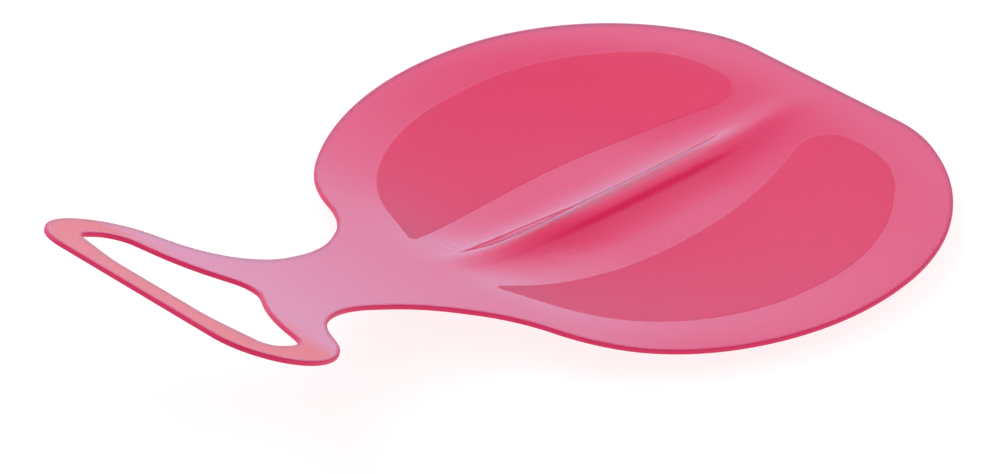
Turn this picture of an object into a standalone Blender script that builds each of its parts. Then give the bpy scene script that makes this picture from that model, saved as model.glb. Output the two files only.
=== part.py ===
"""Bum slider: one moulded sheet of clear pink plastic, with a dished seat, a centre ridge and a raised grip.

The right half is drawn flat as a blank and filled with facets. The blank gets its thickness, its raised seat
zone and its rounded edges, is laid over the height of the moulding, and is mirrored. Metres, +Z up. X is the
width, the straight tail edge is at +Y, the grip is at -Y, and the flats that run on the snow lie at Z = 0.
"""

import math

import bmesh
import bpy
from mathutils import Vector
from mathutils.geometry import delaunay_2d_cdt

# Sheet
SHEET = 0.003
EDGE_ROUND = 0.0011
EDGE_STEPS = 2

# Plate, as the corners of a frame round its right half and the radius that rounds each corner
TAIL_X = 0.0796
TAIL_Y = 0.1756
TAIL_RADIUS = 0.0831
HIP_X = 0.1786
HIP_Y = 0.1296
HIP_RADIUS = 0.1644
SIDE_X = 0.2041
SIDE_Y = -0.0467
SIDE_RADIUS = 0.1972
FRONT_X = 0.1269
FRONT_Y = -0.1417
FRONT_RADIUS = 0.1182

# Neck between the plate and the grip
NECK_ROOT_X = 0.0739
NECK_ROOT_Y = -0.1615
NECK_ROOT_RADIUS = 0.0808
NECK_WAIST_X = 0.0414
NECK_WAIST_Y = -0.2048
NECK_WAIST_RADIUS = 0.0935
NECK_END_X = 0.0292
NECK_END_Y = -0.28
NECK_END_RADIUS = 0.0584

# Grip, a bar with round ends
GRIP_BACK_X = 0.1002
GRIP_BACK_Y = -0.3133
GRIP_BACK_RADIUS = 0.0576
GRIP_END_X = 0.1097
GRIP_FRONT_Y = -0.3817
GRIP_FRONT_RADIUS = 0.0501

# Finger opening, set in from the grip's outline by the width of the bar round it
FRONT_BAR = 0.0174
FRONT_BAR_BOW = 0.0079
END_BAR = 0.028
BACK_BAR = 0.0147
OPENING_FRONT_RADIUS = 0.0105
OPENING_BACK_RADIUS = 0.0184
OPENING_WAIST_X = 0.0372
OPENING_WAIST_RISE = 0.011
OPENING_WAIST_RADIUS = 0.1235
OPENING_PEAK_RISE = 0.0239
OPENING_PEAK_RADIUS = 0.0224

# Seat zones, raised a little over the dish, one on each side of the ridge
SEAT_RISE = 0.0006
SEAT_DRAFT = 0.0005
SEAT_TAIL_MARGIN = 0.0355
SEAT_TAIL_X = 0.0963
SEAT_TAIL_RADIUS = 0.0702
SEAT_HIP_Y = 0.0625
SEAT_HIP_RADIUS = 0.1403
SEAT_SIDE_MARGIN = 0.0465
SEAT_SIDE_TAPER = 0.0057
SEAT_SIDE_Y = -0.051
SEAT_SIDE_RADIUS = 0.1541
SEAT_FRONT_X = 0.1012
SEAT_FRONT_Y = -0.1148
SEAT_FRONT_RADIUS = 0.1197
SEAT_TIP_X = 0.0338
SEAT_TIP_Y = -0.1433
SEAT_TIP_RADIUS = 0.003
SEAT_INNER_X = 0.0744
SEAT_INNER_RADIUS = 0.38
SEAT_HEEL_X = 0.025
SEAT_HEEL_RADIUS = 0.0214

# Dish, a shallow bowl whose bottom is cut off flat to run on
BOWL_DEPTH = 0.0142
BOWL_HALF_WIDTH = 0.1848
BOWL_HALF_LENGTH = 0.146
BOWL_MIDDLE_Y = 0.0
BOWL_BRIM = 0.123
FLAT_DEPTH = 0.012

# Ridge down the middle of the dish: a round crest, a short wall, a foot and a long apron on each side
CREST_RADIUS = 0.011
WALL_ANGLE = math.radians(52)
FOOT_RADIUS = 0.008
APRON_ANGLE = math.radians(25)
APRON_RADIUS = 0.047
CREST_FALL = 0.0024
CREST_FALL_Y = -0.045
CREST_FALL_LENGTH = 0.08
CREST_BLEND = 0.15

# Rise of the neck and the grip, which steepens towards the grip
BEND_Y = -0.1155
BEND_SOFTNESS = 0.0154
NECK_ANGLE = math.radians(12.46)
NECK_CURL_RADIUS = 1.031

# Facets
FACET = 0.0095
RIDGE_FACET = 0.0027
SMALLEST_FACET = 0.0022
FACET_TURN = math.radians(14)
SLOPE_STEP = 0.00002
SHARP_ANGLE = math.radians(48)


def corner_arcs(corners):
    """For each corner (x, y, radius) of a closed frame, the points of the arc that rounds it."""
    count = len(corners)
    places = [Vector(corner[:2]) for corner in corners]
    to_last = [(places[index - 1] - places[index]).normalized() for index in range(count)]
    to_next = [(places[(index + 1) % count] - places[index]).normalized() for index in range(count)]
    halves = [0.5 * back.angle(ahead) for back, ahead in zip(to_last, to_next)]
    reaches = [corner[2] / math.tan(half) for corner, half in zip(corners, halves)]
    # Where two arcs want more of a side than it has, both give way alike.
    shares = [1.0] * count
    for index in range(count):
        after = (index + 1) % count
        side = (places[after] - places[index]).length
        share = side / (reaches[index] + reaches[after])
        shares[index] = min(shares[index], share)
        shares[after] = min(shares[after], share)
    arcs = []
    for index in range(count):
        reach = reaches[index] * shares[index]
        radius = reach * math.tan(halves[index])
        middle = (to_last[index] + to_next[index]).normalized()
        centre = places[index] + middle * (radius / math.sin(halves[index]))
        start = places[index] + to_last[index] * reach - centre
        end = places[index] + to_next[index] * reach - centre
        turn = math.pi - 2 * halves[index]
        # An even count of steps puts a point on the middle of the arc.
        steps = 2 * max(1, math.ceil(turn * radius / FACET / 2), math.ceil(turn / FACET_TURN / 2))
        arcs.append([centre + start.slerp(end, step / steps) * radius for step in range(steps + 1)])
    return arcs


def space_out(points, closed):
    """The same path without points that all but coincide, and with its long straight stretches divided."""
    kept = [points[0]]
    for point in points[1:]:
        if (point - kept[-1]).length > SMALLEST_FACET:
            kept.append(point)
    end = points[0] if closed else points[-1]
    if (end - kept[-1]).length < SMALLEST_FACET:
        kept.pop()
    spaced = []
    for point, after in zip(kept, kept[1:] + [end]):
        parts = max(1, round((after - point).length / FACET))
        spaced += [point.lerp(after, part / parts) for part in range(parts)]
    return spaced if closed else spaced + [end]


def closed_path(corners):
    return space_out([point for arc in corner_arcs(corners) for point in arc], True)


def half_path(corners):
    """The right half of a mirrored outline, from the middle line round to the middle line."""
    mirrored = [(-x, y, radius) for x, y, radius in reversed(corners) if x > 0]
    arcs = corner_arcs(corners + mirrored)[: len(corners)]
    path = [point for arc in arcs for point in arc if point.x > SMALLEST_FACET / 2]
    for index, place in ((0, 0), (-1, len(path) + 1)):
        # A corner on the middle line gives the middle of its arc, and any other side crosses it level.
        on_line = corners[index][0] == 0
        height = arcs[index][len(arcs[index]) // 2].y if on_line else corners[index][1]
        path.insert(place, Vector((0, height)))
    return space_out(path, False)


def set_in(points, distance, closed):
    """The path moved to the right of its own direction, which is where the material lies."""
    moved = []
    for index, point in enumerate(points):
        before = points[index - 1]
        after = points[(index + 1) % len(points)]
        if not closed and index == 0:
            before = Vector((-after.x, after.y))
        if not closed and index == len(points) - 1:
            after = Vector((-before.x, before.y))
        arriving = (point - before).normalized()
        along = (arriving + (after - point).normalized()).normalized()
        across = Vector((along.y, -along.x))
        moved.append(point + across * (distance / along.dot(arriving)))
    return moved


def rim_corners():
    return [
        (TAIL_X, TAIL_Y, TAIL_RADIUS),
        (HIP_X, HIP_Y, HIP_RADIUS),
        (SIDE_X, SIDE_Y, SIDE_RADIUS),
        (FRONT_X, FRONT_Y, FRONT_RADIUS),
        (NECK_ROOT_X, NECK_ROOT_Y, NECK_ROOT_RADIUS),
        (NECK_WAIST_X, NECK_WAIST_Y, NECK_WAIST_RADIUS),
        (NECK_END_X, NECK_END_Y, NECK_END_RADIUS),
        (GRIP_BACK_X, GRIP_BACK_Y, GRIP_BACK_RADIUS),
        (GRIP_END_X, GRIP_FRONT_Y, GRIP_FRONT_RADIUS),
    ]


def opening_corners():
    front = GRIP_FRONT_Y + FRONT_BAR
    front_end = front + FRONT_BAR_BOW
    back = GRIP_BACK_Y - BACK_BAR
    end = GRIP_END_X - END_BAR
    waist = back + OPENING_WAIST_RISE
    return [
        (end / 2, front, OPENING_WAIST_RADIUS),
        (end, front_end, OPENING_FRONT_RADIUS),
        (end, back, OPENING_BACK_RADIUS),
        (OPENING_WAIST_X, waist, OPENING_WAIST_RADIUS),
        (0, waist + OPENING_PEAK_RISE, OPENING_PEAK_RADIUS),
    ]


def seat_corners():
    tail = TAIL_Y - SEAT_TAIL_MARGIN
    side = SIDE_X - SEAT_SIDE_MARGIN
    return [
        (SEAT_HEEL_X, tail, SEAT_HEEL_RADIUS),
        (SEAT_TAIL_X, tail, SEAT_TAIL_RADIUS),
        (side, SEAT_HIP_Y, SEAT_HIP_RADIUS),
        (side - SEAT_SIDE_TAPER, SEAT_SIDE_Y, SEAT_SIDE_RADIUS),
        (SEAT_FRONT_X, SEAT_FRONT_Y, SEAT_FRONT_RADIUS),
        (SEAT_TIP_X, SEAT_TIP_Y, SEAT_TIP_RADIUS),
        (SEAT_INNER_X, 0, SEAT_INNER_RADIUS),
    ]


def soft_ramp(value, softness):
    """Nothing below nought and the value above it, with a soft turn between the two."""
    return softness * math.log1p(math.exp(value / softness)) if value < 30 * softness else value


def arc_fall(radius, start, end):
    """How far an arc of the ridge's section falls between two slopes."""
    return radius * abs(math.cos(start) - math.cos(end))


def arc_width(radius, start, end):
    return radius * abs(math.sin(start) - math.sin(end))


def ridge_section():
    """The widths and falls of the ridge's crest, wall, foot and apron, from its middle outwards."""
    arcs = ((CREST_RADIUS, 0, WALL_ANGLE), (FOOT_RADIUS, WALL_ANGLE, APRON_ANGLE), (APRON_RADIUS, APRON_ANGLE, 0))
    widths = [arc_width(*arc) for arc in arcs]
    falls = [arc_fall(*arc) for arc in arcs]
    wall_fall = FLAT_DEPTH - sum(falls)
    widths.insert(1, wall_fall / math.tan(WALL_ANGLE))
    falls.insert(1, wall_fall)
    return widths, falls


def ridge_share(x):
    """Height of the ridge's section at x, as a share of its height on the crest."""
    widths, falls = ridge_section()
    across = abs(x)
    wall, foot, apron, end = (sum(widths[: count + 1]) for count in range(4))
    if across < wall:
        height = FLAT_DEPTH - CREST_RADIUS + math.sqrt(CREST_RADIUS**2 - across**2)
    elif across < foot:
        height = FLAT_DEPTH - falls[0] - (across - wall) * math.tan(WALL_ANGLE)
    elif across < apron:
        from_lowest = FOOT_RADIUS * math.sin(APRON_ANGLE) + apron - across
        height = falls[3] + FOOT_RADIUS * math.cos(APRON_ANGLE) - math.sqrt(FOOT_RADIUS**2 - from_lowest**2)
    elif across < end:
        height = APRON_RADIUS - math.sqrt(APRON_RADIUS**2 - (end - across) ** 2)
    else:
        height = 0
    return height / FLAT_DEPTH


def neck_rise(y):
    run = soft_ramp(BEND_Y - y, BEND_SOFTNESS)
    return math.tan(NECK_ANGLE) * run + run**2 / (2 * NECK_CURL_RADIUS)


def moulding_height(x, y):
    """Height of the sheet's upper face over the plane of the plate's rim."""
    inside = 1 - (x / BOWL_HALF_WIDTH) ** 2 - ((y - BOWL_MIDDLE_Y) / BOWL_HALF_LENGTH) ** 2
    bowl = BOWL_DEPTH * soft_ramp(inside, BOWL_BRIM)
    base = max(neck_rise(y) - bowl, -FLAT_DEPTH)
    share = min(max((y - CREST_FALL_Y) / CREST_FALL_LENGTH, 0), 1)
    fall = CREST_FALL * share**2 * (3 - 2 * share)
    over_dish = neck_rise(y) - base - fall
    ridge = (over_dish + math.sqrt(over_dish**2 + CREST_BLEND * fall**2)) / 2
    return base + ridge * ridge_share(x)


def lay_over(x, y, height):
    """The place in the moulding of a point of the blank that lies this high over the blank's upper face."""
    step = SLOPE_STEP
    slope_x = (moulding_height(x + step, y) - moulding_height(x - step, y)) / (2 * step)
    slope_y = (moulding_height(x, y + step) - moulding_height(x, y - step)) / (2 * step)
    normal = Vector((-slope_x, -slope_y, 1)).normalized()
    return Vector((x, y, moulding_height(x, y))) + normal * height


def filling_points(outline, loops):
    """Points over the inside of an outline, close together across the ridge, and clear of it and of the loops."""
    ridge_columns = round(sum(ridge_section()[0]) / RIDGE_FACET)
    ridge_width = ridge_columns * RIDGE_FACET
    widest = max(point.x for point in outline)
    lowest = min(point.y for point in outline)
    highest = max(point.y for point in outline)
    clear = [point for loop in loops for point in loop]
    points = []
    for row in range(math.ceil(lowest / FACET), math.floor(highest / FACET) + 1):
        y = row * FACET
        on_ridge = abs(y - BOWL_MIDDLE_Y) < BOWL_HALF_LENGTH
        columns = [(column + 1) * RIDGE_FACET for column in range(ridge_columns)] if on_ridge else []
        first = ridge_width if on_ridge else 0
        shift = FACET * (0.5 if row % 2 else 1)
        columns += [first + shift + column * FACET for column in range(int(widest / FACET))]
        for x in columns:
            point = Vector((x, y))
            gap = 0.6 * FACET if x > ridge_width or not on_ridge else 0.6 * RIDGE_FACET
            if inside(point, outline) and all((point - other).length > gap for other in clear):
                points.append(point)
    return points


def inside(point, loop):
    """Whether a point lies inside a closed loop, by how often a line from it to +X crosses the loop."""
    crossings = 0
    for start, end in zip(loop, loop[1:] + loop[:1]):
        if (start.y > point.y) != (end.y > point.y):
            x = start.x + (end.x - start.x) * (point.y - start.y) / (end.y - start.y)
            crossings += x > point.x
    return crossings % 2 == 1


def on_middle_line(start, end):
    """Points of the filling's rows along the middle line, between two ends."""
    low, high = sorted((start.y, end.y))
    rows = [row * FACET for row in range(math.ceil(low / FACET), math.floor(high / FACET) + 1)]
    line = [Vector((0, y)) for y in rows if low + FACET / 2 < y < high - FACET / 2]
    return line if start.y < end.y else line[::-1]


def fill(outline, loops):
    """Facets over the inside of an outline, with the loops among their edges, as points and triples."""
    points = list(outline)
    edges = []
    for loop in loops:
        first = len(points)
        points += loop
        edges += [(first + index, first + (index + 1) % len(loop)) for index in range(len(loop))]
    points += filling_points(outline, [outline] + loops)
    face = list(range(len(outline)))
    places, _, triangles, sources, _, _ = delaunay_2d_cdt(points, edges, [face], 1, SLOPE_STEP)
    return places, triangles, sources


def add_face(bm, verts, material):
    if len(set(verts)) == len(verts):
        bm.faces.new(verts).material_index = material


def build_half():
    """A bmesh of the right half of the sheet, open along the middle line."""
    rim = half_path(rim_corners())
    opening = half_path(opening_corners())
    seat_foot = closed_path(seat_corners())
    seat_top = set_in(seat_foot, SEAT_DRAFT, True)
    turns = [math.radians(90) * step / EDGE_STEPS for step in range(EDGE_STEPS + 1)]
    section = [(EDGE_ROUND * (1 - math.sin(turn)), EDGE_ROUND * (math.cos(turn) - 1)) for turn in turns]
    section += [(inset, -SHEET - height) for inset, height in reversed(section)]

    bm = bmesh.new()
    rings = {}
    for name, path in (("rim", rim), ("opening", opening)):
        rings[name] = []
        for inset, height in section:
            moved = set_in(path, inset, False)
            rings[name].append([bm.verts.new(lay_over(point.x, point.y, height)) for point in moved])
        for upper, lower in zip(rings[name], rings[name][1:]):
            for index in range(len(path) - 1):
                quad = (upper[index], upper[index + 1], lower[index + 1], lower[index])
                add_face(bm, quad, 0)

    rim_face = set_in(rim, EDGE_ROUND, False)
    opening_face = set_in(opening, EDGE_ROUND, False)
    front_line = on_middle_line(rim_face[-1], opening_face[0])
    back_line = on_middle_line(opening_face[-1], rim_face[0])
    outline = rim_face + front_line + opening_face + back_line
    for ring, height, loops in ((0, 0, [seat_foot, seat_top]), (-1, -SHEET, [])):
        places, triangles, sources = fill(outline, loops)
        shared = rings["rim"][ring] + [None] * len(front_line) + rings["opening"][ring]
        verts = []
        raised = []
        for place, source in zip(places, sources):
            on_seat = bool(loops) and seat_places(source, place, len(outline), seat_foot, seat_top)
            raised.append(on_seat)
            known = [shared[index] for index in source if index < len(shared) and shared[index]]
            lift = SEAT_RISE if on_seat else 0
            verts.append(known[0] if known else bm.verts.new(lay_over(place.x, place.y, height + lift)))
        for triangle in triangles:
            material = 1 if all(raised[index] for index in triangle) else 0
            add_face(bm, [verts[index] for index in triangle], material)
    return bm


def seat_places(sources, place, first, seat_foot, seat_top):
    """Whether a point of the upper face stands on the raised seat zone, its edge included."""
    foot = range(first, first + len(seat_foot))
    top = range(first + len(seat_foot), first + len(seat_foot) + len(seat_top))
    if any(source in foot for source in sources):
        return False
    return any(source in top for source in sources) or inside(place, seat_top)


def plastic(name, roughness):
    material = bpy.data.materials.new(name)
    material.use_nodes = True
    shader = material.node_tree.nodes["Principled BSDF"]
    shader.inputs["Base Color"].default_value = (0.7, 0.02, 0.13, 1)
    shader.inputs["Metallic"].default_value = 0
    shader.inputs["Roughness"].default_value = roughness
    shader.inputs["IOR"].default_value = 1.49
    shader.inputs["Transmission Weight"].default_value = 0.6
    material.diffuse_color = (0.7, 0.02, 0.13, 1)
    return material


def build_slider():
    bm = build_half()
    for vert in bm.verts:
        if abs(vert.co.x) < SLOPE_STEP:
            vert.co.x = 0
    half = bm.verts[:] + bm.edges[:] + bm.faces[:]
    bmesh.ops.mirror(bm, geom=half, axis="X", merge_dist=SLOPE_STEP)
    bmesh.ops.recalc_face_normals(bm, faces=bm.faces[:])
    # The origin is the middle of the box that the slider fills, on the flats that it runs on.
    ends = [vert.co.y for vert in bm.verts]
    lowest = min(vert.co.z for vert in bm.verts)
    bmesh.ops.translate(bm, verts=bm.verts[:], vec=(0, -(min(ends) + max(ends)) / 2, -lowest))

    mesh = bpy.data.meshes.new("slider_sheet")
    bm.to_mesh(mesh)
    bm.free()
    mesh.materials.append(plastic("clear_pink_plastic", 0.12))
    mesh.materials.append(plastic("frosted_pink_plastic", 0.45))
    mesh.shade_smooth()
    mesh.set_sharp_from_angle(angle=SHARP_ANGLE)
    slider = bpy.data.objects.new("slider_sheet", mesh)
    bpy.context.scene.collection.objects.link(slider)


for old in list(bpy.data.objects):
    bpy.data.objects.remove(old, do_unlink=True)
build_slider()
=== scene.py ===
"""Bum slider of clear pink plastic: one moulded sheet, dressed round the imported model. Metres, +Z up."""

import math

import bmesh
import bpy
from mathutils import Matrix, Vector


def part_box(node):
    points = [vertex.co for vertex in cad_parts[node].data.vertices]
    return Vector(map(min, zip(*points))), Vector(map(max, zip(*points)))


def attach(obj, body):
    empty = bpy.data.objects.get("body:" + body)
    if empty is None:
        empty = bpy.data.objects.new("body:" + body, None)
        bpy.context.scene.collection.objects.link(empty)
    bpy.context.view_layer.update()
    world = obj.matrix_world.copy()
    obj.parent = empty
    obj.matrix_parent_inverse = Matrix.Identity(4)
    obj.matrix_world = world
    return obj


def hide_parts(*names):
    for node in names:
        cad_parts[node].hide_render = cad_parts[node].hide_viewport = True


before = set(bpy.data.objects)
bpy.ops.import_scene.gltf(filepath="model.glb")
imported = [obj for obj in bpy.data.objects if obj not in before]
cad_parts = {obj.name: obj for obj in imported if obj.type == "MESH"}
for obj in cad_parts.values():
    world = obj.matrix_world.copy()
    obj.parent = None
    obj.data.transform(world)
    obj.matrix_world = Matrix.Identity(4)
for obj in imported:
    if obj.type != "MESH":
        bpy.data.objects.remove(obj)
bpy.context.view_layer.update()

# Outline of the moulding. The real slider is one injection moulding in clear pink plastic: a plate with a
# straight tail, a waisted neck and a grip with a finger opening. Each corner of the frame round its right
# half has an x, a y and a radius, and a point that is spun about the corner's centre draws the arc.
ARC_FACET = 0.0025
ARC_TURN = math.radians(5)
TOUCHING = 0.00002

OUTLINE = [
    (0.0796, 0.1756, 0.0831),
    (0.1786, 0.1296, 0.1644),
    (0.2041, -0.0467, 0.1972),
    (0.1269, -0.1417, 0.1182),
    (0.0739, -0.1615, 0.0808),
    (0.0414, -0.2048, 0.0935),
    (0.0292, -0.2800, 0.0584),
    (0.1002, -0.3133, 0.0576),
    (0.1097, -0.3817, 0.0501),
]
OPENING = [
    (0.04085, -0.3643, 0.1235),
    (0.0817, -0.3564, 0.0105),
    (0.0817, -0.3280, 0.0184),
    (0.0372, -0.3170, 0.1235),
    (0.0000, -0.2931, 0.0224),
]


def arcs_of(corners):
    """The centre, the start and the signed turn of the arc that rounds each corner of a closed frame."""
    count = len(corners)
    places = [Vector(corner[:2]) for corner in corners]
    to_last = [(places[index - 1] - places[index]).normalized() for index in range(count)]
    to_next = [(places[(index + 1) % count] - places[index]).normalized() for index in range(count)]
    halves = [0.5 * back.angle(ahead) for back, ahead in zip(to_last, to_next)]
    reaches = [corner[2] / math.tan(half) for corner, half in zip(corners, halves)]
    # Where two arcs want more of a side than it has, both give way alike.
    shares = [1.0] * count
    for index in range(count):
        after = (index + 1) % count
        side = (places[after] - places[index]).length
        share = side / (reaches[index] + reaches[after])
        shares[index] = min(shares[index], share)
        shares[after] = min(shares[after], share)
    arcs = []
    for index in range(count):
        reach = reaches[index] * shares[index]
        radius = reach * math.tan(halves[index])
        middle = (to_last[index] + to_next[index]).normalized()
        centre = places[index] + middle * (radius / math.sin(halves[index]))
        turn = math.pi - 2 * halves[index]
        turns_left = to_last[index].cross(to_next[index]) < 0
        arcs.append((centre, places[index] + to_last[index] * reach, turn if turns_left else -turn))
    return arcs


def half_arcs(corners):
    """The arcs of the right half of a mirrored outline. One on the middle line stops half way."""
    mirrored = [(-x, y, radius) for x, y, radius in reversed(corners) if x > 0]
    arcs = arcs_of(corners + mirrored)[: len(corners)]
    return [(arc[0], arc[1], arc[2] / (1 if corner[0] > 0 else 2)) for arc, corner in zip(arcs, corners)]


def draw_path(bm, arcs, set_in, height, closed=False):
    """The edges of a path, set in towards the right of its own direction, where the material lies."""
    others = set(bm.edges)
    chain = []
    if not closed:
        chain.append([bm.verts.new((0, arcs[0][1].y - set_in, height))])
    for centre, start, turn in arcs:
        spoke = start - centre
        moved = centre + spoke * (1 + math.copysign(1, turn) * set_in / spoke.length)
        vert = bm.verts.new((*moved, height))
        facets = max(abs(turn) * spoke.length / ARC_FACET, abs(turn) / ARC_TURN)
        steps = 2 * max(1, math.ceil(facets / 2))
        spun = bmesh.ops.spin(
            bm, geom=[vert], cent=(*centre, height), axis=(0, 0, 1), angle=turn, steps=steps
        )
        chain.append([vert, spun["geom_last"][0]])
    if closed:
        chain.append([chain[0][0]])
    elif abs(chain[-1][-1].co.x) > TOUCHING:
        chain.append([bm.verts.new((0, chain[-1][-1].co.y, height))])
    for stretch, after in zip(chain, chain[1:]):
        start, end = stretch[-1], after[0]
        parts = max(1, round((end.co - start.co).length / ARC_FACET))
        between = [bm.verts.new(start.co.lerp(end.co, part / parts)) for part in range(1, parts)]
        for pair in zip([start, *between], [*between, end]):
            bm.edges.new(pair)
    drawn = {vert for edge in set(bm.edges) - others for vert in edge.verts}
    bmesh.ops.remove_doubles(bm, verts=list(drawn), dist=TOUCHING)
    return list(set(bm.edges) - others)


# Edge and faces of the sheet. The wall is 3 mm thick, and the mould rounds its edge all the way round the
# outline and the finger opening. Each face is filled flat from its edge, then cut square into small cells,
# finer across the ridge, so that it can be laid over the moulding's height.
SHEET = 0.003
EDGE_ROUND = 0.0006
EDGE_STEPS = 4
# Width on the faces over which the painted glow of the edge fades out.
PAINTED_GLOW_REACH = 0.0022
CELL = 0.0026
RIDGE_CELL = 0.0008
RIDGE_REACH = 0.02
HALF_LENGTH_REACH = 0.4
HALF_WIDTH_REACH = 0.2
SNAP = 0.0003


def join_up(bm, paths):
    """A band of faces between each path and the next."""
    for path, after in zip(paths, paths[1:]):
        bmesh.ops.bridge_loops(bm, edges=path + after)


def rounded_edge(bm, arcs):
    """The bands round the sheet's edge, as the paths that they end on in the upper and the lower face."""
    turns = [math.pi / 2 * step / EDGE_STEPS for step in range(EDGE_STEPS + 1)]
    section = [(EDGE_ROUND + PAINTED_GLOW_REACH, 0)]
    section += [(EDGE_ROUND * (1 - math.sin(turn)), EDGE_ROUND * (math.cos(turn) - 1)) for turn in turns]
    section += [(set_in, -SHEET - height) for set_in, height in reversed(section)]
    paths = [draw_path(bm, arcs, set_in, height) for set_in, height in section]
    # The edge attribute marks the band where the material paints in the edge's glow as an opaque crimson.
    for vert in {vert for path in paths[1:-1] for edge in path for vert in edge.verts}:
        vert[bm.verts.layers.float["edge"]] = 1
    join_up(bm, paths)
    return paths[0], paths[-1]


def middle_edges(bm, rim, opening):
    """The two edges on the middle line that close a face between its rim and its opening."""
    ends = []
    for path in (rim, opening):
        on_line = {vert for edge in path for vert in edge.verts if abs(vert.co.x) < TOUCHING}
        ends.append(sorted(on_line, key=lambda vert: vert.co.y))
    (grip_front, tail), (opening_front, opening_back) = ends
    return [bm.edges.new((grip_front, opening_front)), bm.edges.new((opening_back, tail))]


def cut_square(bm, faces, axis, places):
    """Cut faces across one axis at each place, going up from the lowest."""
    across = Vector((0, 0, 0))
    across[axis] = 1
    for place in places:
        edges = {edge for face in faces for edge in face.edges}
        verts = {vert for face in faces for vert in face.verts}
        cut = bmesh.ops.bisect_plane(
            bm, geom=[*verts, *edges, *faces], dist=SNAP, plane_co=across * place, plane_no=across
        )
        pieces = [face for face in cut["geom"] if isinstance(face, bmesh.types.BMFace)]
        faces = [face for face in pieces if max(vert.co[axis] for vert in face.verts) > place + SNAP]


# Seat zones. On each side of the ridge the mould has an etched area, which makes a duller zone that stands
# a little proud of the rest. It is part of the same moulding, and its border is a short soft step.
SEAT_ZONE = [
    (0.0250, 0.1401, 0.0214),
    (0.0963, 0.1401, 0.0702),
    (0.1576, 0.0625, 0.1403),
    (0.1519, -0.0510, 0.1541),
    (0.1012, -0.1148, 0.1197),
    (0.0338, -0.1433, 0.0030),
    (0.0744, 0.0000, 0.3800),
]
SEAT_RISE = 0.0001
SEAT_DRAFT = 0.0012
SEAT_STEPS = 4
MATT_FROM = 0.3


def seat_border(bm):
    """The step round the seat zone, as its foot and its top."""
    arcs = arcs_of(SEAT_ZONE)
    paths = []
    for step in range(SEAT_STEPS + 1):
        share = step / SEAT_STEPS
        height = SEAT_RISE * (0.5 - 0.5 * math.cos(math.pi * share))
        paths.append(draw_path(bm, arcs, SEAT_DRAFT * share, height, closed=True))
    join_up(bm, paths)
    return paths[0], paths[-1]


# Height of the moulding. The dish is a shallow bowl with a level bottom. The ridge down its middle has a
# broad crown, short steep walls and long aprons. It is rounder towards both ends, and its crest sinks a
# little towards the tail. The neck curls up from the front of the plate to carry the grip.
BOWL_DEPTH = 0.0142
BOWL_HALF_WIDTH = 0.1848
BOWL_HALF_LENGTH = 0.146
BOWL_BRIM = 0.123
FLAT_DEPTH = 0.012
FLAT_SOFTNESS = 0.0006
SECTION_HEIGHT = 0.0089
CROWN_RADIUS = 0.023
CROWN_ANGLE = math.radians(19)
SHOULDER_RADIUS = 0.004
WALL_ANGLE = math.radians(54)
FOOT_RADIUS = 0.0025
APRON_ANGLE = math.radians(17)
APRON_RADIUS = 0.086
ROUND_HALF_WIDTH = 0.036
ROUND_CORE = 0.014
ROUND_AT_FRONT = 0.85
FRONT_ENDS = (-0.085, -0.015)
TAIL_ENDS = (0.055, 0.1)
CREST_DEPTH = 0.0009
CREST_FALL = 0.003
CREST_LEVEL_Y = -0.05
CREST_FALL_LENGTH = 0.045
CREST_SOFTNESS = 0.008
RIDGE_LEAST = 0.45
RIDGE_SOFTNESS = 0.0003
BEND_Y = -0.1155
BEND_SOFTNESS = 0.0154
NECK_ANGLE = math.radians(12.46)
NECK_CURL_RADIUS = 1.031
SLOPE_STEP = 0.00002
STRAIGHT_FROM = 30


def soft_ramp(value, softness):
    """Zero below nought and the value above it, with a soft turn between."""
    if value > STRAIGHT_FROM * softness:
        return value
    return softness * math.log1p(math.exp(value / softness))


def smooth_step(value, ends):
    """Nought before the first end and one past the second, with a soft rise between."""
    share = min(max((value - ends[0]) / (ends[1] - ends[0]), 0), 1)
    return share**2 * (3 - 2 * share)


def neck_rise(y):
    """How far the neck has curled up over the plane of the plate's rim."""
    run = soft_ramp(BEND_Y - y, BEND_SOFTNESS)
    return math.tan(NECK_ANGLE) * run + run**2 / (2 * NECK_CURL_RADIUS)


def dish_height(x, y):
    """Height of the sheet's upper face without its ridge, over the plane of the plate's rim."""
    inside = 1 - (x / BOWL_HALF_WIDTH) ** 2 - (y / BOWL_HALF_LENGTH) ** 2
    bowl = BOWL_DEPTH * soft_ramp(inside, BOWL_BRIM)
    return soft_ramp(neck_rise(y) - bowl + FLAT_DEPTH, FLAT_SOFTNESS) - FLAT_DEPTH


def walled_share(across):
    """Height of the walled ridge's section this far from its middle, as a share of the crest's."""
    arcs = [
        (CROWN_RADIUS, 0, CROWN_ANGLE),
        (SHOULDER_RADIUS, CROWN_ANGLE, WALL_ANGLE),
        (FOOT_RADIUS, WALL_ANGLE, APRON_ANGLE),
        (APRON_RADIUS, APRON_ANGLE, 0),
    ]
    falls = [radius * abs(math.cos(start) - math.cos(end)) for radius, start, end in arcs]
    wall_fall = SECTION_HEIGHT - sum(falls)
    wall_width = wall_fall / math.tan(WALL_ANGLE)
    left = SECTION_HEIGHT
    for (radius, start, end), fall in zip(arcs, falls):
        if start == WALL_ANGLE:
            if across < wall_width:
                return (left - across * math.tan(WALL_ANGLE)) / SECTION_HEIGHT
            across -= wall_width
            left -= wall_fall
        width = radius * abs(math.sin(start) - math.sin(end))
        if across < width:
            turned = math.sin(start) + math.copysign(across / radius, end - start)
            return (left - radius * abs(math.cos(start) - math.sqrt(1 - turned**2))) / SECTION_HEIGHT
        across -= width
        left -= fall
    return 0


def round_share(across):
    """The same for the rounder section that the ridge has towards its ends."""
    inside = max(0, 1 - (across / ROUND_HALF_WIDTH) ** 2)
    return inside**2 / (1 + (across / ROUND_CORE) ** 2)


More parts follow.
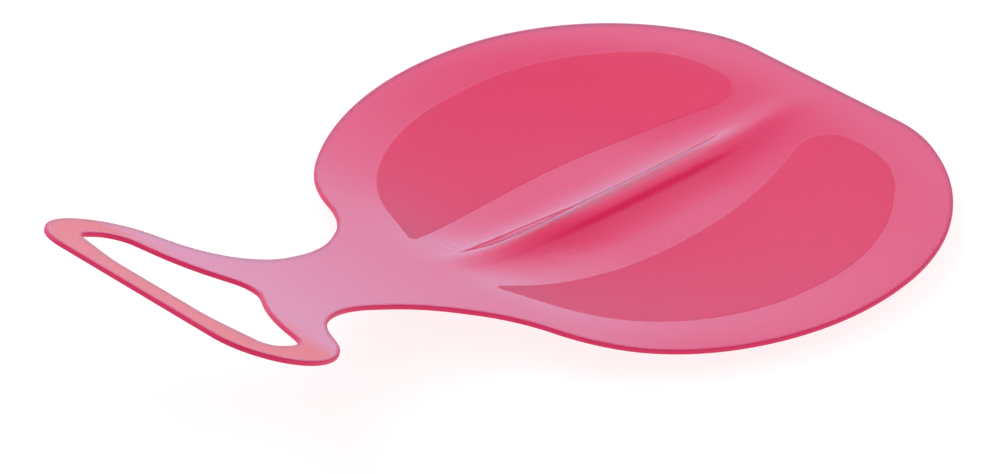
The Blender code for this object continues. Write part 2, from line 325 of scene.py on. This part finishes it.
def ridge_height(x, y, height):
    """Height of the ridge over the dish, for a face that lies this high over the sheet's upper face."""
    depth = neck_rise(y) - dish_height(x, y)
    fall = CREST_FALL * (1 - math.exp(-soft_ramp(y - CREST_LEVEL_Y, CREST_SOFTNESS) / CREST_FALL_LENGTH))
    least = RIDGE_LEAST * depth
    ridge = least + soft_ramp(depth - CREST_DEPTH - fall - least, RIDGE_SOFTNESS)
    roundness = ROUND_AT_FRONT * (1 - smooth_step(y, FRONT_ENDS)) + smooth_step(y, TAIL_ENDS)
    # The lower face follows the wall at the sheet's thickness, so its own wall stands further in.
    wall_angle = math.atan(math.tan(WALL_ANGLE) * (1 - roundness) * ridge / SECTION_HEIGHT)
    across = max(0, abs(x) - height * math.tan(wall_angle / 2))
    return ridge * (walled_share(across) * (1 - roundness) + round_share(across) * roundness)


def lay_over(place):
    """The place in the moulding of a point of the flat blank."""
    x, y, height = place
    step = SLOPE_STEP
    slope_x = (dish_height(x + step, y) - dish_height(x - step, y)) / (2 * step)
    slope_y = (dish_height(x, y + step) - dish_height(x, y - step)) / (2 * step)
    normal = Vector((-slope_x, -slope_y, 1)).normalized()
    return Vector((x, y, dish_height(x, y) + ridge_height(x, y, height))) + normal * height


def build_sheet():
    bm = bmesh.new()
    bm.verts.layers.float.new("edge")
    bm.verts.layers.float.new("matt")
    rim_top, rim_foot = rounded_edge(bm, half_arcs(OUTLINE))
    opening_top, opening_foot = rounded_edge(bm, half_arcs(OPENING))
    zone_foot, zone_top = seat_border(bm)

    bands = set(bm.faces)
    upper = rim_top + opening_top + middle_edges(bm, rim_top, opening_top) + zone_foot
    lower = rim_foot + opening_foot + middle_edges(bm, rim_foot, opening_foot)
    filled = bmesh.ops.triangle_fill(
        bm, use_beauty=False, use_dissolve=False, edges=upper, normal=(0, 0, 1)
    )
    for edge in filled["geom"]:
        if isinstance(edge, bmesh.types.BMEdge) and len(edge.link_faces) == 2:
            edge.seam = True
    for edges in (zone_top, lower):
        bmesh.ops.contextual_create(bm, geom=edges)
    lengthways = range(1, int(2 * HALF_LENGTH_REACH / CELL))
    cut_square(
        bm, [face for face in bm.faces if face not in bands], 1,
        [place * CELL - HALF_LENGTH_REACH for place in lengthways],
    )
    fine = [place * RIDGE_CELL for place in range(1, int(RIDGE_REACH / RIDGE_CELL) + 1)]
    coarse = range(1, int((HALF_WIDTH_REACH - fine[-1]) / CELL))
    cut_square(
        bm, [face for face in bm.faces if face not in bands], 0,
        fine + [fine[-1] + place * CELL for place in coarse],
    )
    bmesh.ops.dissolve_edges(bm, edges=[edge for edge in bm.edges if edge.seam], use_verts=True)

    matt = bm.verts.layers.float["matt"]
    for vert in bm.verts:
        vert[matt] = min(max(0, vert.co.z / (MATT_FROM * SEAT_RISE)), 1)
        vert.co = lay_over(vert.co)
        if abs(vert.co.x) < TOUCHING:
            vert.co.x = 0
    bmesh.ops.mirror(bm, geom=bm.verts[:] + bm.edges[:] + bm.faces[:], axis="X", merge_dist=TOUCHING)
    bmesh.ops.recalc_face_normals(bm, faces=bm.faces[:])
    bmesh.ops.triangulate(bm, faces=[face for face in bm.faces if len(face.verts) > 4])

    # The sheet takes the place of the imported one: the same middle, on the same floor.
    low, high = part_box("slider_sheet")
    ends = [vert.co.y for vert in bm.verts]
    lowest = min(vert.co.z for vert in bm.verts)
    move = (0, (low[1] + high[1] - min(ends) - max(ends)) / 2, low[2] - lowest)
    bmesh.ops.translate(bm, verts=bm.verts[:], vec=move)
    for face in bm.faces:
        face.smooth = True
    mesh = bpy.data.meshes.new("slider")
    bm.to_mesh(mesh)
    bm.free()
    return mesh


slider = bpy.data.objects.new("slider", build_sheet())
bpy.context.scene.collection.objects.link(slider)
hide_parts("slider_sheet")
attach(slider, "root")


# Plastic. A clear plastic dyed pink: light that passes through the wall takes the colour, and some of it is
# scattered inside. The polished faces reflect what stands round. The edges' glow is painted: the edge band
# is opaque and painted crimson, in place of light guided along the wall. The etched seat zones are duller
# and deeper.
BODY_TINT = (0.97, 0.09, 0.28, 1)
ZONE_TINT = (1.0, 0.008, 0.19, 1)
# Painted glow: the edge band's opaque crimson stands in for light guided along the wall and out at its
# edge.
PAINTED_EDGE_GLOW = (0.8, 0.013, 0.12, 1)
DYE_COLOUR = (0.96, 0.0, 0.475, 1)
DYE_DENSITY = 584
IOR = 1.49
CLEARNESS = 0.65
POLISHED = 0.06
ETCHED = 0.46
EDGE_ROUGHNESS = 0.5
WAVES = 24
WAVE_HEIGHT = 0.00012
GRAIN = 900
GRAIN_HEIGHT = 0.000004

plastic = bpy.data.materials.new("clear_pink_plastic")
plastic.use_nodes = True
nodes = plastic.node_tree.nodes
links = plastic.node_tree.links
shader = nodes["Principled BSDF"]
shader.inputs["IOR"].default_value = IOR
zone = nodes.new("ShaderNodeAttribute")
zone.attribute_name = "matt"
edge = nodes.new("ShaderNodeAttribute")
edge.attribute_name = "edge"


def ranged(value, first, last):
    """A value that goes from the first to the last while the given one goes from 0 to 1."""
    step = nodes.new("ShaderNodeMapRange")
    step.inputs["To Min"].default_value = first
    step.inputs["To Max"].default_value = last
    links.new(value, step.inputs["Value"])
    return step.outputs["Result"]


def blended(factor, first, second):
    """A colour that goes from the first to the second, each a colour or a socket of the same nodes."""
    mix = nodes.new("ShaderNodeMix")
    mix.data_type = "RGBA"
    links.new(factor, mix.inputs["Factor"])
    for name, colour in (("A", first), ("B", second)):
        if isinstance(colour, tuple):
            mix.inputs[name].default_value = colour
        else:
            links.new(colour, mix.inputs[name])
    return mix.outputs["Result"]


def larger(first, second):
    """The larger of two sockets' values."""
    either = nodes.new("ShaderNodeMath")
    either.operation = "MAXIMUM"
    links.new(first, either.inputs[0])
    links.new(second, either.inputs[1])
    return either.outputs[0]


face_roughness = ranged(zone.outputs["Fac"], POLISHED, ETCHED)
edge_roughness = ranged(edge.outputs["Fac"], 0, EDGE_ROUGHNESS)
links.new(larger(face_roughness, edge_roughness), shader.inputs["Roughness"])
# Painted glow: towards the edge the plastic turns opaque and takes the painted glow colour.
links.new(ranged(edge.outputs["Fac"], CLEARNESS, 0), shader.inputs["Transmission Weight"])
face_tint = blended(zone.outputs["Fac"], BODY_TINT, ZONE_TINT)
links.new(blended(edge.outputs["Fac"], face_tint, PAINTED_EDGE_GLOW), shader.inputs["Base Color"])
place = nodes.new("ShaderNodeTexCoord")
normal = None
for scale, height in ((WAVES, WAVE_HEIGHT), (GRAIN, GRAIN_HEIGHT)):
    noise = nodes.new("ShaderNodeTexNoise")
    noise.inputs["Scale"].default_value = scale
    links.new(place.outputs["Object"], noise.inputs["Vector"])
    bump = nodes.new("ShaderNodeBump")
    bump.inputs["Distance"].default_value = height
    links.new(noise.outputs["Fac"], bump.inputs["Height"])
    if normal:
        links.new(normal, bump.inputs["Normal"])
    normal = bump.outputs["Normal"]
links.new(normal, shader.inputs["Normal"])
dye = nodes.new("ShaderNodeVolumeAbsorption")
dye.inputs["Color"].default_value = DYE_COLOUR
dye.inputs["Density"].default_value = DYE_DENSITY
links.new(dye.outputs["Volume"], nodes["Material Output"].inputs["Volume"])
slider.data.materials.append(plastic)


# Floor. A plain pale sweep that the slider lies on: white, with the slider's own soft shadow, and white
# again where it is seen through the plastic or mirrored in it.
FLOOR_HALF_SIZE = 4
FLOOR_GLOW = 0.84
FLOOR_PAINT = 0.25

bm = bmesh.new()
bmesh.ops.create_grid(bm, x_segments=1, y_segments=1, size=FLOOR_HALF_SIZE)
floor_mesh = bpy.data.meshes.new("floor")
bm.to_mesh(floor_mesh)
bm.free()
floor = bpy.data.objects.new("floor", floor_mesh)
bpy.context.scene.collection.objects.link(floor)

paint = bpy.data.materials.new("floor_paint")
paint.use_nodes = True
nodes = paint.node_tree.nodes
links = paint.node_tree.links
nodes.remove(nodes["Principled BSDF"])
matt_paint = nodes.new("ShaderNodeBsdfDiffuse")
matt_paint.inputs["Color"].default_value = (FLOOR_PAINT, FLOOR_PAINT, FLOOR_PAINT, 1)
glow = nodes.new("ShaderNodeEmission")
glow.inputs["Strength"].default_value = FLOOR_GLOW
both = nodes.new("ShaderNodeAddShader")
links.new(matt_paint.outputs["BSDF"], both.inputs[0])
links.new(glow.outputs["Emission"], both.inputs[1])
white = nodes.new("ShaderNodeEmission")
rays = nodes.new("ShaderNodeLightPath")
clear_or_glossy = larger(rays.outputs["Is Transmission Ray"], rays.outputs["Is Glossy Ray"])
seen = nodes.new("ShaderNodeMixShader")
links.new(clear_or_glossy, seen.inputs["Fac"])
links.new(both.outputs["Shader"], seen.inputs[1])
links.new(white.outputs["Emission"], seen.inputs[2])
links.new(seen.outputs["Shader"], nodes["Material Output"].inputs["Surface"])
floor_mesh.materials.append(paint)


# Light. A white studio for the eye and through the plastic. What the plastic mirrors is a bright cool wall
# behind the slider, a dimmer ceiling and a dark side to the right. One large soft box to the left shades
# the ridge.
WHITE = (1.0, 1.0, 1.0, 1.0)
STUDIO = (0.6, 0.6, 0.6, 1)
WALL_LIGHT = (0.7, 1.45, 1.95, 1)
CEILING_LIGHT = (0.35, 0.55, 0.75, 1)
DARK_SIDE = (0.03, 0.03, 0.04, 1)
WALL_SIDE = (-0.72, 0.69, 0)
DARK_TO = -0.05
LIGHT_FROM = 0.6
CEILING_FROM = 0.5
CEILING_TO = 0.86
SOFT_BOX_SIDE = 1.8
SOFT_BOX_PLACE = Vector((-1.9, 0.1, 2.2))
SOFT_BOX_POWER = 33

world = bpy.data.worlds.new("studio")
bpy.context.scene.world = world
world.use_nodes = True
nodes = world.node_tree.nodes
links = world.node_tree.links
rays = nodes.new("ShaderNodeLightPath")
towards = nodes.new("ShaderNodeTexCoord")
axes = nodes.new("ShaderNodeSeparateXYZ")
links.new(towards.outputs["Generated"], axes.inputs["Vector"])
to_wall = nodes.new("ShaderNodeVectorMath")
to_wall.operation = "DOT_PRODUCT"
links.new(towards.outputs["Generated"], to_wall.inputs[0])
to_wall.inputs[1].default_value = WALL_SIDE


def soft_step(value, start, end):
    """Nought before the start and one past the end, with a soft rise between."""
    step = nodes.new("ShaderNodeMapRange")
    step.interpolation_type = "SMOOTHSTEP"
    step.inputs["From Min"].default_value = start
    step.inputs["From Max"].default_value = end
    links.new(value, step.inputs["Value"])
    return step.outputs["Result"]


ceiling = soft_step(axes.outputs["Z"], CEILING_FROM, CEILING_TO)
lit = soft_step(to_wall.outputs["Value"], DARK_TO, LIGHT_FROM)
mirrored = blended(lit, DARK_SIDE, blended(ceiling, WALL_LIGHT, CEILING_LIGHT))
studio = blended(rays.outputs["Is Glossy Ray"], STUDIO, mirrored)
seen = larger(rays.outputs["Is Camera Ray"], rays.outputs["Is Transmission Ray"])
links.new(blended(seen, studio, WHITE), nodes["Background"].inputs["Color"])
nodes["Background"].inputs["Strength"].default_value = 1

light = bpy.data.lights.new("soft_box", "AREA")
light.shape = "SQUARE"
light.size = SOFT_BOX_SIDE
light.energy = SOFT_BOX_POWER
soft_box = bpy.data.objects.new("soft_box", light)
facing_slider = SOFT_BOX_PLACE.to_track_quat("Z", "Y").to_matrix().to_4x4()
soft_box.matrix_world = Matrix.Translation(SOFT_BOX_PLACE) @ facing_slider
bpy.context.scene.collection.objects.link(soft_box)


# Camera, at the photograph's viewing angle: a long lens from the front right, looking down on the slider.
AZIMUTH = math.radians(46.4371)
ELEVATION = math.radians(31.7379)
DISTANCE = 3.3485
LENS = 202.97
SENSOR_WIDTH = 36
AIM = Vector((-0.00991, 0.00969, 0.01338))

back = Vector(
    (math.sin(AZIMUTH) * math.cos(ELEVATION), -math.cos(AZIMUTH) * math.cos(ELEVATION), math.sin(ELEVATION))
)
right = Vector((math.cos(AZIMUTH), math.sin(AZIMUTH), 0))
lens = bpy.data.cameras.new("camera")
lens.lens = LENS
lens.sensor_width = SENSOR_WIDTH
lens.sensor_fit = "HORIZONTAL"
camera = bpy.data.objects.new("camera", lens)
camera.matrix_world = Matrix.Translation(AIM + back * DISTANCE) @ Matrix(
    (right, back.cross(right), back)
).transposed().to_4x4()
bpy.context.scene.collection.objects.link(camera)
bpy.context.scene.camera = camera
bpy.context.scene.view_settings.view_transform = "Standard"

# Light that is caught inside the wall needs many turns to come out again.
MOST_TURNS = 24
MOST_TURNS_OF_A_KIND = 16
bpy.context.scene.cycles.max_bounces = MOST_TURNS
bpy.context.scene.cycles.glossy_bounces = MOST_TURNS_OF_A_KIND
bpy.context.scene.cycles.transmission_bounces = MOST_TURNS_OF_A_KIND
